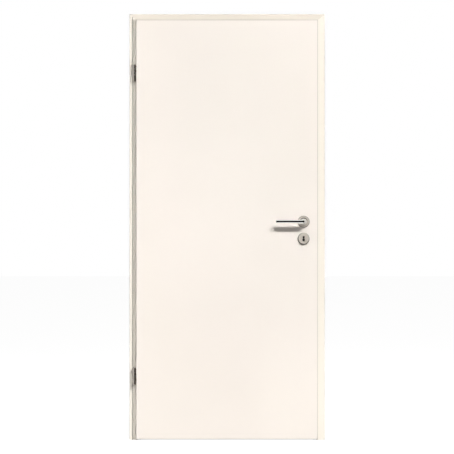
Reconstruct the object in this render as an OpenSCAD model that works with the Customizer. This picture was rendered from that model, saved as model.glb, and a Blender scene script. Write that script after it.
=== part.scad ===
// Rebated interior door: a flush lipped leaf hung on two barrel hinges in a wrap-round lined frame.
// Millimetres, +Z up. The leaf opens towards -Y and its hinges are on the -X side.
// Origin: on the outer face of the hinge-side lining, at the wall's front face and floor level.

/* [Leaf] */
// Overall width of the leaf, over its lips
leaf_w = 860; // [610:1:1110]
// Overall height of the leaf
leaf_h = 1985; // [1600:1:2300]
// Overall thickness of the leaf
leaf_t = 40; // [34:0.5:50]
// Depth of the rebated body behind the lip
rebate_d = 25.5; // [18:0.5:28]
// Width of the lip beyond the rebated body
lip_w = 13; // [10:0.5:20]
// Gap between the leaf and the finished floor
floor_gap = 5; // [5:0.5:12]
// Thickness of each face sheet
skin_t = 3.5; // [2:0.1:5]
// Width of the stiles and rails inside the leaf
stile_w = 35; // [28:1:60]
// Width of the lock block beyond the lock stile
block_w = 75; // [65:1:120]
// Height of the lock block
block_h = 320; // [260:1:500]

/* [Frame] */
// Depth of the lining, which is the thickness of the wall
wall_t = 145; // [100:1:300]
// Thickness of the lining behind the rebate
lining_t = 22; // [16:1:30]
// Projection of the door stop from the rebate
stop_w = 16; // [12:0.5:24]
// Thickness of the casings
casing_t = 16; // [10:0.5:25]
// Face width of the casing that shows beside the closed leaf
casing_show = 33; // [20:1:70]
// Height of the head casing that shows above the closed leaf
head_show = 28; // [20:1:70]
// Radius of the casing's front arrises
casing_r = 3; // [0.5:0.1:5]
// Clearance between the rebated body and the frame's rebate
rebate_gap = 5.7; // [5.6:0.1:8]
// Clearance between the back of the lip and the casing
lip_gap = 5; // [5:0.1:8]
// Clearance between the back of the leaf and the stop
stop_gap = 6; // [5.5:0.1:10]

/* [Seal] */
// Clearance between the seal and the closed leaf
seal_gap = 0.5; // [0.3:0.1:1]
// Width of the seal's foot in its groove
seal_foot_w = 3.4; // [2:0.1:5]
// Depth of the seal's foot in its groove
seal_foot_d = 6; // [3:0.1:8]
// Distance of the seal's middle from the rebate
seal_in = 10; // [9:0.5:11]

/* [Hinges] */
// Diameter of the hinge barrels
barrel_d = 16; // [12:0.5:18]
// Height of one hinge, both knuckles
hinge_h = 80; // [60:1:120]
// Distance of the barrel's axis from the edge of the leaf
hinge_out = 10; // [9.5:0.5:14]
// Height of the lower hinge's joint above the floor
hinge_low_z = 303; // [200:1:400]
// Distance from the top of the leaf down to the upper hinge's joint
hinge_drop = 252; // [180:1:400]
// Diameter of the hinge pin
hinge_pin_d = 9; // [6:0.5:10]
// Length of the hinge pin above the joint
hinge_pin_l = 30; // [15:1:34]
// Radial clearance of the hinge pin in its knuckle
pin_clear = 0.05; // [0.02:0.01:0.1]
// Gap between the two knuckles
knuckle_gap = 0.8; // [0.3:0.1:2]
// Diameter of the screw-in fixing pins
fixing_d = 6; // [5:0.5:7]
// Radial clearance of the fixing pins in their holes
fixing_clear = 0.1; // [0.05:0.05:0.3]
// Length of the fixing pins inside the leaf
leaf_fixing_l = 32; // [20:1:40]
// Length of the fixing pins inside the frame
frame_fixing_l = 34; // [20:1:60]
// Distance between the two fixing pins of a knuckle
fixing_pitch = 22; // [14:1:28]

/* [Lock] */
// Distance from the faceplate to the middle of the handle and the keyhole
backset = 55; // [50:1:70]
// Height of the handle above the floor
handle_z = 1034; // [900:1:1150]
// Distance from the handle down to the keyhole's escutcheon
key_drop = 80; // [72:1:92]
// Thickness of the lock case
case_t = 14; // [10:0.5:16]
// Depth of the lock case behind the faceplate
case_d = 84; // [75:1:100]
// Height of the lock case
case_h = 165; // [155:1:190]
// Distance from the handle up to the top of the lock case
case_rise = 45; // [35:1:60]
// Width of the faceplate
face_w = 20; // [18:0.5:24]
// Height of the faceplate
face_h = 235; // [210:1:260]
// Thickness of the faceplate
face_t = 3; // [2:0.5:4]
// Distance from the handle up to the middle of the latch bolt
latch_rise = 18; // [12:1:24]
// Height of the latch bolt
latch_h = 28; // [20:1:30]
// Thickness of the latch bolt and the dead bolt
bolt_t = 9; // [8:0.5:10]
// Height of the dead bolt
dead_h = 34; // [24:1:38]
// Distance from the handle down to the middle of the dead bolt
dead_drop = 66; // [60:1:70]
// Length of each bolt inside the case
bolt_l = 38; // [25:1:40]
// Diameter of the follower that the spindle turns
follower_d = 20; // [16:0.5:24]
// Radial clearance of the follower in the lock case
follower_clear = 0.1; // [0.05:0.01:0.3]
// Side of the square spindle
spindle_w = 8; // [7:0.5:10]
// Thickness of the strike plate
strike_t = 2; // [1.5:0.5:3]
// Height of the strike plate
strike_h = 170; // [150:1:200]
// Width of the strike plate
strike_w = 20; // [18:0.5:22]
// Clearance of the strike plate's holes around each bolt
strike_clear = 1; // [0.5:0.1:1.2]
// Depth of the pocket behind the strike plate
pocket_d = 16; // [10:0.5:18]

/* [Handle] */
// Diameter of the roses and the key escutcheons
rose_d = 56; // [48:1:60]
// Thickness of the roses and the key escutcheons
rose_t = 8; // [5:0.5:12]
// Radius on the front edge of the roses
rose_r = 3; // [0.5:0.1:5]
// Diameter of the raised hub around the lever's neck
hub_d = 30; // [24:1:40]
// Height of the raised hub above its rose
hub_t = 2; // [0.5:0.1:4]
// Diameter of the lever's round bar
lever_d = 19; // [16:0.5:22]
// Distance from the leaf's face to the middle of the bar
lever_out = 46; // [40:1:60]
// Length of the lever from the spindle to its tip
lever_l = 133; // [100:1:150]
// Radius of the lever's bend, at the middle of the bar
lever_bend_r = 14; // [12:0.5:20]
// Radius on the edge of the lever's tip
tip_r = 1.5; // [0.5:0.1:3]
// Gap between the end of the lever's neck and the leaf
neck_gap = 1; // [0.5:0.1:2]
// Radial clearance of the lever's neck in its rose
neck_clear = 0.3; // [0.1:0.05:0.6]
// Depth of the spindle inside each lever
spindle_in = 25; // [15:1:30]
// Diameter of the hole for the spindle in the leaf
spindle_hole_d = 16; // [13:0.5:18]

/* [Keyhole] */
// Diameter of the keyhole's round top
key_top_d = 10.5; // [7:0.5:12]
// Width that the sides of the keyhole would have at the middle of its round top
key_waist_w = 1.5; // [0.5:0.1:4]
// Width of the keyhole at its foot
key_foot_w = 12.5; // [5.5:0.1:14]
// Height of the keyhole
key_h = 25; // [20:0.5:28]
// Thickness of the ward plate that closes the keyway in the middle of the lock case
ward_t = 2; // [1:0.5:4]

/* [Hidden] */
$fn = 64;

// Overlap that cutting shapes run past the faces they cut
cut = 1;

// Depth planes, from the wall's front face at zero
casing_front = -casing_t;
lip_back = casing_front - lip_gap;
leaf_front = lip_back - (leaf_t - rebate_d);
leaf_back = leaf_front + leaf_t;
stop_front = leaf_back + stop_gap;
core_front = leaf_front + skin_t;
core_back = leaf_back - skin_t;
core_t = core_back - core_front;
lip_mid = (leaf_front + lip_back) / 2;
body_mid = (lip_back + leaf_back) / 2;

// Widths, from the outer face of the hinge-side lining at zero
rebate_x0 = lining_t;
body_x0 = rebate_x0 + rebate_gap;
leaf_x0 = body_x0 - lip_w;
leaf_x1 = leaf_x0 + leaf_w;
body_x1 = leaf_x1 - lip_w;
rebate_x1 = body_x1 + rebate_gap;
frame_x1 = rebate_x1 + lining_t;
casing_x0 = leaf_x0 - casing_show;
casing_x1 = leaf_x1 + casing_show;
stop_x0 = rebate_x0 + stop_w;
stop_x1 = rebate_x1 - stop_w;
axis_x = leaf_x0 - hinge_out;
lock_x = body_x1 - backset;

// Heights, from the finished floor at zero
leaf_z1 = floor_gap + leaf_h;
body_z1 = leaf_z1 - lip_w;
rebate_z1 = body_z1 + rebate_gap;
frame_z1 = rebate_z1 + lining_t;
stop_z1 = rebate_z1 - stop_w;
casing_z1 = leaf_z1 + head_show;
key_z = handle_z - key_drop;
latch_z = handle_z + latch_rise;
dead_z = handle_z - dead_drop;
case_z1 = handle_z + case_rise;
case_z0 = case_z1 - case_h;
face_z0 = (case_z0 + case_z1 - face_h) / 2;
strike_z0 = (latch_z + dead_z - strike_h) / 2;
hinge_zs = [hinge_low_z, leaf_z1 - hinge_drop];

// Seal
bulb_d = stop_gap - seal_gap;

wall_white = [0.97, 0.94, 0.90];
steel = [0.62, 0.61, 0.60];
polished = [0.80, 0.80, 0.80];
rubber_grey = [0.55, 0.54, 0.52];
raw_board = [0.80, 0.68, 0.50];

// A prism of the outline in width and height, from depth y0 to y1
module upright_prism(y0, y1) {
    translate([0, y1, 0]) rotate([90, 0, 0]) linear_extrude(y1 - y0) children();
}

// A shape drawn along the width, from x0 to x1: the outline's x becomes height, its y becomes depth
module along_head(x0, x1) {
    translate([x0, 0, 0]) rotate([0, 90, 0]) linear_extrude(x1 - x0) mirror([1, 0, 0]) children();
}

// Outline of an upright, mitred at its top from its outer to its inner edge
module mitre_upright(x_out, x_in, z_out, z_in) {
    polygon([[x_out, 0], [x_in, 0], [x_in, z_in], [x_out, z_out]]);
}

// Outline of a head piece, mitred at both ends from its outer to its inner edge
module mitre_head(x_out, x_in, z_out, z_in) {
    polygon([[x_out[0], z_out], [x_in[0], z_in], [x_in[1], z_in], [x_out[1], z_out]]);
}

// Casing section: x from its inner edge, y from its back, with both front arrises rounded
module casing_section(w) {
    square([w, casing_t - casing_r]);
    translate([casing_r, 0]) square([w - 2 * casing_r, casing_t]);
    for (x = [casing_r, w - casing_r])
        translate([x, casing_t - casing_r]) circle(casing_r);
}

// Lining section: x from its outer face, y from the wall's front face, with the stop and the seal's groove
module lining_section() {
    difference() {
        union() {
            square([lining_t, wall_t]);
            translate([0, stop_front]) square([lining_t + stop_w, wall_t - stop_front]);
        }
        translate([lining_t + seal_in - seal_foot_w / 2, stop_front - cut])
            square([seal_foot_w, seal_foot_d + cut]);
    }
}

// Seal section: x from the lining's outer face, y as the lining
module seal_section() {
    translate([lining_t + seal_in, stop_front - bulb_d / 2]) circle(d = bulb_d);
    translate([lining_t + seal_in - seal_foot_w / 2, stop_front - bulb_d / 2])
        square([seal_foot_w, seal_foot_d + bulb_d / 2]);
}

// Hollow for the strike plate and both bolts, cut into the lock side of the frame
module strike_recess() {
    translate([rebate_x1 - cut, casing_front - cut, strike_z0])
        cube([strike_t + cut, strike_w + cut, strike_h]);
    strike_hole(latch_z, latch_h, pocket_d);
    strike_hole(dead_z, dead_h, pocket_d);
}

// Hole for one bolt, from the rebate to the given depth
module strike_hole(z, h, d) {
    translate([rebate_x1 - cut, body_mid - bolt_t / 2 - strike_clear, z - h / 2 - strike_clear])
        cube([d + cut, bolt_t + 2 * strike_clear, h + 2 * strike_clear]);
}

// Heights of the fixing pins of a hinge whose joint is at z, above it for the leaf and below it for the frame
function fixing_zs(z, side) = [for (s = [-1, 1]) z + side * hinge_h / 4 + s * fixing_pitch / 2];

// Fixing pins of one lower knuckle, which run back into the casing and the lining
module frame_fixings(z, d) {
    for (fz = fixing_zs(z, -1))
        translate([axis_x, lip_mid, fz]) rotate([-90, 0, 0])
            cylinder(d = d, h = casing_front - lip_mid + frame_fixing_l);
}

// Fixing pins of one upper knuckle, which run into the lip of the leaf
module leaf_fixings(z, d) {
    for (fz = fixing_zs(z, 1))
        translate([axis_x, lip_mid, fz]) rotate([0, 90, 0])
            cylinder(d = d, h = hinge_out + leaf_fixing_l);
}

// Keyhole outline around the middle of the escutcheon
module keyhole_outline() {
    top = key_h / 2 - key_top_d / 2;
    foot = key_foot_w / 2 - key_h / 2;
    translate([0, top]) circle(d = key_top_d);
    polygon([[-key_foot_w / 2, foot], [key_foot_w / 2, foot], [key_waist_w / 2, top], [-key_waist_w / 2, top]]);
    translate([0, foot]) circle(d = key_foot_w);
}

// Holes through the whole leaf for the spindle and the key
module leaf_holes() {
    translate([lock_x, leaf_front - cut, handle_z]) rotate([-90, 0, 0])
        cylinder(d = spindle_hole_d, h = leaf_t + 2 * cut);
    translate([lock_x, 0, key_z]) upright_prism(leaf_front - cut, leaf_back + cut) keyhole_outline();
}

// Space that the lock case, its faceplate and its bolts take out of the leaf
module lock_pocket() {
    translate([body_x1 - face_t - case_d, body_mid - case_t / 2, case_z0])
        cube([case_d + face_t + cut, case_t, case_h]);
    translate([body_x1 - face_t, body_mid - face_w / 2, face_z0])
        cube([face_t + cut, face_w, face_h]);
}

// Half section of a rose: flat back at zero, rounded front edge
module rose_section() {
    square([rose_d / 2, rose_t - rose_r]);
    square([rose_d / 2 - rose_r, rose_t]);
    intersection() {
        translate([rose_d / 2 - rose_r, rose_t - rose_r]) circle(rose_r);
        square([rose_d / 2, rose_t]);
    }
}

// Turned rose with its raised hub and the bore for the lever's neck
module rose() {
    bore_r = lever_d / 2 + neck_clear;
    rotate_extrude() difference() {
        union() {
            rose_section();
            square([hub_d / 2, rose_t + hub_t]);
        }
        translate([0, -cut]) square([bore_r, rose_t + hub_t + 2 * cut]);
    }
}

// Lever pointing to -X with its neck along +Z from the leaf's face at zero
module lever_shape() {
    r = lever_d / 2;
    difference() {
        union() {
            translate([0, 0, neck_gap]) cylinder(d = lever_d, h = lever_out - lever_bend_r - neck_gap);
            translate([-lever_bend_r, 0, lever_out - lever_bend_r]) rotate([90, 0, 0])
                rotate_extrude(angle = 90) translate([lever_bend_r, 0]) circle(r);
            translate([-lever_bend_r, 0, lever_out]) rotate([0, -90, 0]) {
                cylinder(r = r, h = lever_l - lever_bend_r - tip_r);
                cylinder(r = r - tip_r, h = lever_l - lever_bend_r);
                translate([0, 0, lever_l - lever_bend_r - tip_r]) rotate_extrude()
                    translate([r - tip_r, 0]) circle(tip_r);
            }
        }
        translate([-spindle_w / 2, -spindle_w / 2, neck_gap - cut])
            cube([spindle_w, spindle_w, spindle_in - neck_gap + cut]);
    }
}

// Places a shape drawn from the leaf's face outwards on the front or the back of the leaf
module on_front(z) {
    translate([lock_x, leaf_front, z]) rotate([90, 0, 0]) children();
}
module on_back(z) {
    translate([lock_x, leaf_back, z]) mirror([0, 1, 0]) rotate([90, 0, 0]) children();
}

module lining_hinge_side() {
    color(wall_white) difference() {
        intersection() {
            linear_extrude(frame_z1) lining_section();
            upright_prism(0, wall_t) mitre_upright(0, stop_x0, frame_z1, stop_z1);
        }
        for (z = hinge_zs) frame_fixings(z, fixing_d + 2 * fixing_clear);
    }
}

module lining_lock_side() {
    color(wall_white) difference() {
        intersection() {
            translate([frame_x1, 0, 0]) mirror([1, 0, 0]) linear_extrude(frame_z1) lining_section();
            upright_prism(0, wall_t) mitre_upright(frame_x1, stop_x1, frame_z1, stop_z1);
        }
        strike_recess();
    }
}

module lining_head() {
    color(wall_white) intersection() {
        along_head(0, frame_x1) translate([frame_z1, 0]) mirror([1, 0, 0]) lining_section();
        upright_prism(0, wall_t) mitre_head([0, frame_x1], [stop_x0, stop_x1], frame_z1, stop_z1);
    }
}

module front_casing_hinge_side() {
    color(wall_white) difference() {
        intersection() {
            translate([rebate_x0, 0, 0]) mirror([1, 0, 0]) mirror([0, 1, 0])
                linear_extrude(casing_z1) casing_section(rebate_x0 - casing_x0);
            upright_prism(casing_front, 0) mitre_upright(casing_x0, rebate_x0, casing_z1, rebate_z1);
        }
        for (z = hinge_zs) frame_fixings(z, fixing_d + 2 * fixing_clear);
    }
}

module front_casing_lock_side() {
    color(wall_white) difference() {
        intersection() {
            translate([rebate_x1, 0, 0]) mirror([0, 1, 0])
                linear_extrude(casing_z1) casing_section(casing_x1 - rebate_x1);
            upright_prism(casing_front, 0) mitre_upright(casing_x1, rebate_x1, casing_z1, rebate_z1);
        }
        strike_recess();
    }
}

module front_casing_head() {
    color(wall_white) intersection() {
        along_head(casing_x0, casing_x1) translate([rebate_z1, 0]) mirror([0, 1, 0])
            casing_section(casing_z1 - rebate_z1);
        upright_prism(casing_front, 0)
            mitre_head([casing_x0, casing_x1], [rebate_x0, rebate_x1], casing_z1, rebate_z1);
    }
}

module back_casing_hinge_side() {
    color(wall_white) intersection() {
        translate([stop_x0, wall_t, 0]) mirror([1, 0, 0])
            linear_extrude(casing_z1) casing_section(stop_x0 - casing_x0);
        upright_prism(wall_t, wall_t + casing_t) mitre_upright(casing_x0, stop_x0, casing_z1, stop_z1);
    }
}

module back_casing_lock_side() {
    color(wall_white) intersection() {
        translate([stop_x1, wall_t, 0]) linear_extrude(casing_z1) casing_section(casing_x1 - stop_x1);
        upright_prism(wall_t, wall_t + casing_t) mitre_upright(casing_x1, stop_x1, casing_z1, stop_z1);
    }
}

module back_casing_head() {
    color(wall_white) intersection() {
        along_head(casing_x0, casing_x1) translate([stop_z1, wall_t]) casing_section(casing_z1 - stop_z1);
        upright_prism(wall_t, wall_t + casing_t)
            mitre_head([casing_x0, casing_x1], [stop_x0, stop_x1], casing_z1, stop_z1);
    }
}

module seal_hinge_side() {
    color(rubber_grey) intersection() {
        linear_extrude(frame_z1) seal_section();
        upright_prism(leaf_back, wall_t) mitre_upright(0, stop_x0, frame_z1, stop_z1);
    }
}

module seal_lock_side() {
    color(rubber_grey) intersection() {
        translate([frame_x1, 0, 0]) mirror([1, 0, 0]) linear_extrude(frame_z1) seal_section();
        upright_prism(leaf_back, wall_t) mitre_upright(frame_x1, stop_x1, frame_z1, stop_z1);
    }
}

module seal_head() {
    color(rubber_grey) intersection() {
        along_head(0, frame_x1) translate([frame_z1, 0]) mirror([1, 0, 0]) seal_section();
        upright_prism(leaf_back, wall_t)
            mitre_head([0, frame_x1], [stop_x0, stop_x1], frame_z1, stop_z1);
    }
}

module strike_plate() {
    color(steel) difference() {
        translate([rebate_x1, casing_front, strike_z0]) cube([strike_t, strike_w, strike_h]);
        strike_hole(latch_z, latch_h, strike_t + cut);
        strike_hole(dead_z, dead_h, strike_t + cut);
    }
}

// Lower knuckle with its pin and its two fixing pins
module hinge_frame_part(z) {
    color(steel) {
        translate([axis_x, lip_mid, z - hinge_h / 2]) cylinder(d = barrel_d, h = (hinge_h - knuckle_gap) / 2);
        translate([axis_x, lip_mid, z - hinge_h / 4]) cylinder(d = hinge_pin_d, h = hinge_h / 4 + hinge_pin_l);
        frame_fixings(z, fixing_d);
    }
}

// Upper knuckle with the bore for the pin and its two fixing pins
module hinge_leaf_part(z) {
    color(steel) difference() {
        union() {
            translate([axis_x, lip_mid, z + knuckle_gap / 2])
                cylinder(d = barrel_d, h = (hinge_h - knuckle_gap) / 2);
            leaf_fixings(z, fixing_d);
        }
        translate([axis_x, lip_mid, z - cut])
            cylinder(d = hinge_pin_d + 2 * pin_clear, h = hinge_pin_l + 2 * cut);
    }
}

module hinge_upper_frame_part() { hinge_frame_part(hinge_zs[1]); }
module hinge_lower_frame_part() { hinge_frame_part(hinge_zs[0]); }
module hinge_upper_leaf_part() { hinge_leaf_part(hinge_zs[1]); }
module hinge_lower_leaf_part() { hinge_leaf_part(hinge_zs[0]); }

module leaf_front_skin() {
    color(wall_white) difference() {
        translate([leaf_x0, leaf_front, floor_gap]) cube([leaf_w, skin_t, leaf_h]);
        leaf_holes();
    }
}

module leaf_back_skin() {
    color(wall_white) difference() {
        translate([body_x0, core_back, floor_gap]) cube([body_x1 - body_x0, skin_t, body_z1 - floor_gap]);
        leaf_holes();
        lock_pocket();
    }
}

module leaf_hinge_stile() {
    color(wall_white) difference() {
        union() {
            translate([leaf_x0, core_front, floor_gap])
                cube([lip_w + stile_w, lip_back - core_front, leaf_h]);
            translate([body_x0, core_front, floor_gap]) cube([stile_w, core_t, body_z1 - floor_gap]);
        }
        for (z = hinge_zs) leaf_fixings(z, fixing_d + 2 * fixing_clear);
    }
}

module leaf_lock_stile() {
    color(wall_white) difference() {
        union() {
            translate([body_x1 - stile_w, core_front, floor_gap])
                cube([lip_w + stile_w, lip_back - core_front, leaf_h]);
            translate([body_x1 - stile_w, core_front, floor_gap])
                cube([stile_w, core_t, body_z1 - floor_gap]);
        }
        lock_pocket();
        leaf_holes();
    }
}

module leaf_top_rail() {
    color(wall_white) {
        translate([body_x0 + stile_w, core_front, body_z1 - stile_w])
            cube([body_x1 - body_x0 - 2 * stile_w, lip_back - core_front, lip_w + stile_w]);
        translate([body_x0 + stile_w, core_front, body_z1 - stile_w])
            cube([body_x1 - body_x0 - 2 * stile_w, core_t, stile_w]);
    }
}

module leaf_bottom_rail() {
    color(wall_white) translate([body_x0 + stile_w, core_front, floor_gap])
        cube([body_x1 - body_x0 - 2 * stile_w, core_t, stile_w]);
}

module leaf_core() {
    color(raw_board) difference() {
        translate([body_x0 + stile_w, core_front, floor_gap + stile_w])
            cube([body_x1 - body_x0 - 2 * stile_w, core_t, body_z1 - floor_gap - 2 * stile_w]);
        lock_block_space();
    }
}

// Room for the lock block beside the lock stile
module lock_block_space() {
    translate([body_x1 - stile_w - block_w, core_front, (case_z0 + case_z1 - block_h) / 2])
        cube([block_w, core_t, block_h]);
}

module leaf_lock_block() {
    color(raw_board) difference() {
        lock_block_space();
        lock_pocket();
        leaf_holes();
    }
}

module lock_case() {
    color(steel) difference() {
        translate([body_x1 - face_t - case_d, body_mid - case_t / 2, case_z0])
            cube([case_d, case_t, case_h]);
        translate([lock_x, body_mid - case_t / 2 - cut, handle_z]) rotate([-90, 0, 0])
            cylinder(d = follower_d + 2 * follower_clear, h = case_t + 2 * cut);
        for (keyway = [[leaf_front, body_mid - ward_t / 2], [body_mid + ward_t / 2, leaf_back]])
            translate([lock_x, 0, key_z]) upright_prism(keyway[0], keyway[1]) keyhole_outline();
        bolt_space(latch_z, latch_h);
        bolt_space(dead_z, dead_h);
    }
}

// Channel of one bolt in the lock case and the faceplate
module bolt_space(z, h) {
    translate([body_x1 - bolt_l, body_mid - bolt_t / 2, z - h / 2]) cube([bolt_l + cut, bolt_t, h]);
}

module lock_faceplate() {
    color(steel) difference() {
        translate([body_x1 - face_t, body_mid - face_w / 2, face_z0]) cube([face_t, face_w, face_h]);
        bolt_space(latch_z, latch_h);
        bolt_space(dead_z, dead_h);
    }
}

// A bolt drawn back flush with the faceplate
module bolt(z, h) {
    color(polished) translate([body_x1 - bolt_l, body_mid - bolt_t / 2, z - h / 2]) cube([bolt_l, bolt_t, h]);
}

module latch_bolt() { bolt(latch_z, latch_h); }
module dead_bolt() { bolt(dead_z, dead_h); }

module front_rose() { color(polished) on_front(handle_z) rose(); }
module back_rose() { color(polished) on_back(handle_z) rose(); }

// Key escutcheon from the leaf's face outwards
module key_escutcheon() {
    difference() {
        rotate_extrude() rose_section();
        translate([0, 0, -cut]) linear_extrude(rose_t + 2 * cut) keyhole_outline();
    }
}

module front_key_escutcheon() { color(steel) on_front(key_z) key_escutcheon(); }
module back_key_escutcheon() { color(steel) on_back(key_z) key_escutcheon(); }

module lock_follower() {
    color(steel) difference() {
        translate([lock_x, body_mid - case_t / 2, handle_z]) rotate([-90, 0, 0])
            cylinder(d = follower_d, h = case_t);
        spindle_bar();
    }
}

// The square bar through the leaf, from inside one lever to inside the other
module spindle_bar() {
    translate([lock_x - spindle_w / 2, leaf_front - spindle_in, handle_z - spindle_w / 2])
        cube([spindle_w, leaf_t + 2 * spindle_in, spindle_w]);
}

module spindle() { color(steel) spindle_bar(); }
module front_lever() { color(polished) on_front(handle_z) lever_shape(); }
module back_lever() { color(polished) on_back(handle_z) lever_shape(); }

lining_hinge_side();
lining_lock_side();
lining_head();
front_casing_hinge_side();
front_casing_lock_side();
front_casing_head();
back_casing_hinge_side();
back_casing_lock_side();
back_casing_head();
seal_hinge_side();
seal_lock_side();
seal_head();
strike_plate();
hinge_upper_frame_part();
hinge_lower_frame_part();
leaf_front_skin();
leaf_back_skin();
leaf_hinge_stile();
leaf_lock_stile();
leaf_top_rail();
leaf_bottom_rail();
leaf_core();
leaf_lock_block();
hinge_upper_leaf_part();
hinge_lower_leaf_part();
lock_case();
lock_faceplate();
latch_bolt();
dead_bolt();
front_rose();
back_rose();
front_key_escutcheon();
back_key_escutcheon();
lock_follower();
spindle();
front_lever();
back_lever();
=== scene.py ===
"""Looks of the interior door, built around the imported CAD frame.

Everything is in metres in the part's own frame: the front faces -Y, the hinges are on the -X side,
and the floor is at z = 0. Places are read from the CAD nodes' boxes, so a new size needs no new numbers here.
"""

from __future__ import annotations

import logging
import math
from dataclasses import dataclass, field
from enum import Enum
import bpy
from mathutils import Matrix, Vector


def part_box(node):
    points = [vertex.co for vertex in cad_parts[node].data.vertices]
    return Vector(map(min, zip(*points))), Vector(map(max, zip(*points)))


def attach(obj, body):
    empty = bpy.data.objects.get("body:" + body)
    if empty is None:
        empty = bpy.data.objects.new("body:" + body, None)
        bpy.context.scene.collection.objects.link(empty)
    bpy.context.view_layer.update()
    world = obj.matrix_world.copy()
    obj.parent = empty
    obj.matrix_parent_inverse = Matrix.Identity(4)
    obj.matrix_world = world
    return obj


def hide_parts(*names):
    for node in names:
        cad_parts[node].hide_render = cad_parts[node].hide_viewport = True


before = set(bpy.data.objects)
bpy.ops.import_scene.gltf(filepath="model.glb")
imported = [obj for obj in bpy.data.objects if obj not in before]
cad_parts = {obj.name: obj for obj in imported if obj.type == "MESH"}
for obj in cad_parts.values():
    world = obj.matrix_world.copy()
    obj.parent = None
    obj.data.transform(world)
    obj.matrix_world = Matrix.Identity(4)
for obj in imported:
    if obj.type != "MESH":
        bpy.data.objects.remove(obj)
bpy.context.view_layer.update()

from fnmatch import fnmatchcase

import bmesh
import bpy
import numpy as np
from mathutils import Vector

logging.basicConfig(level=logging.INFO, format="%(message)s")
LOG = logging.getLogger("interior_door")

Array = np.ndarray
Socket = bpy.types.NodeSocket
Tree = bpy.types.NodeTree
Material = bpy.types.Material
Colour = tuple[float, float, float]
Place = tuple[float, float, float]

MM = 0.001
# Name of the point attribute that carries painted shade (over 0) and painted highlight (under 0).
PAINTED_LIGHT_TONE = "painted_light_tone"
WHITE = (1.0, 1.0, 1.0, 1.0)
SMOOTH_TO = 50.0
RIM_START = 0.08
# Distance from the hinge-side casing's outer edge to its painted shadow line.
SHADOW_LINE_FROM_EDGE = 15.6 * MM


class Face(Enum):
    """The two faces of the leaf, with the sign of the way out along Y."""

    FRONT = -1.0
    BACK = 1.0

    @property
    def word(self) -> str:
        """The word that the CAD nodes' names begin with."""
        return self.name.lower()


class Lines(Enum):
    """The way that the fine lines of a metal run: the factors that stretch the pattern on X, Y and Z."""

    UPRIGHT = (1500.0, 1500.0, 14.0)
    ACROSS = (14.0, 1500.0, 1500.0)
    NONE = (220.0, 220.0, 220.0)


# Meshes


def grid_faces(rows: int, cols: int, wrap_rows: bool, wrap_cols: bool) -> Array:
    """Faces of a grid of points numbered row by row.

    Formula: the quad at row i and column j joins the points (i, j), (i, j + 1), (i + 1, j + 1) and
    (i + 1, j); the last row or column is joined to the first where it wraps.

    Args:
        rows: number of rows of points.
        cols: number of points in a row.
        wrap_rows: joins the last row to the first.
        wrap_cols: joins the last column to the first.

    Returns:
        Point numbers, four to a face.
    """
    i, j = np.meshgrid(
        np.arange(rows if wrap_rows else rows - 1),
        np.arange(cols if wrap_cols else cols - 1),
        indexing="ij",
    )
    i2, j2 = (i + 1) % rows, (j + 1) % cols
    quads = np.stack([i * cols + j, i * cols + j2, i2 * cols + j2, i2 * cols + j], axis=-1)
    return quads.reshape(-1, 4)


@dataclass
class Shell:
    """Points and faces of one or more closed surfaces."""

    points: Array = field(default_factory=lambda: np.zeros((0, 3)))
    faces: list[list[int]] = field(default_factory=list)

    def add(self, points: Array, faces: Array) -> None:
        """Adds a surface to the shell.

        Args:
            points: its points, three numbers each.
            faces: point numbers of its faces, counted from its own first point.
        """
        start = len(self.points)
        self.points = np.vstack([self.points, points.reshape(-1, 3)])
        self.faces += (faces + start).tolist()

    def add_tube(self, rings: Array) -> None:
        """Adds a surface of closed rings and shuts its two ends.

        Formula: neighbouring rings are joined by quads, and each end ring is joined to its own middle point.

        Args:
            rings: points as ring, place on the ring, x y z.
        """
        count, around, _ = rings.shape
        start = len(self.points)
        self.add(rings, grid_faces(count, around, False, True))
        poles = np.stack([rings[0].mean(axis=0), rings[-1].mean(axis=0)])
        low, high = start + count * around, start + count * around + 1
        self.points = np.vstack([self.points, poles])
        k = np.arange(around)
        k2 = (k + 1) % around
        last = start + (count - 1) * around
        self.faces += np.stack([np.full(around, low), start + k2, start + k], axis=-1).tolist()
        self.faces += np.stack([np.full(around, high), last + k, last + k2], axis=-1).tolist()

    def add_ring_surface(self, rings: Array) -> None:
        """Adds a surface that closes both ways, such as a plate with one hole.

        Args:
            rings: points as ring, place on the ring, x y z; the last ring is joined to the first.
        """
        self.add(rings, grid_faces(rings.shape[0], rings.shape[1], True, True))


def arc(
    centre: tuple[float, float], radius: float, start: float, stop: float, steps: int,
    rise: float | None = None,
) -> Array:
    """Points on an arc.

    Formula: centre plus radius times (cosine, sine) of an angle that runs evenly from start to stop.

    Args:
        centre: middle of the arc.
        radius: its radius.
        start: first angle in degrees.
        stop: last angle in degrees.
        steps: number of steps between them.
        rise: radius of the sine's part, where the arc is oval.

    Returns:
        Points, two numbers each.
    """
    a = np.radians(np.linspace(start, stop, steps + 1))
    return np.stack([centre[0] + radius * np.cos(a), centre[1] + (rise or radius) * np.sin(a)], axis=-1)


def turned(profile: Array, origin: Vector, axis: Vector, around: int = 96) -> Array:
    """Rings of a turned form.

    Formula: a point at radius r and distance d goes to origin + d * axis + r * (cos t * side + sin t * up),
    with t running evenly once round the axis.

    Args:
        profile: radius and distance along the axis, one row for each ring.
        origin: start of the axis.
        axis: its direction.
        around: number of points in a ring.

    Returns:
        Points as ring, place on the ring, x y z.
    """
    a = np.array(axis.normalized())
    side = np.array(axis.orthogonal().normalized())
    up = np.cross(a, side)
    t = np.linspace(0, 2 * np.pi, around, endpoint=False)
    spoke = np.cos(t)[:, None] * side + np.sin(t)[:, None] * up
    return np.array(origin) + profile[:, 1, None, None] * a + profile[:, 0, None, None] * spoke[None]


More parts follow.
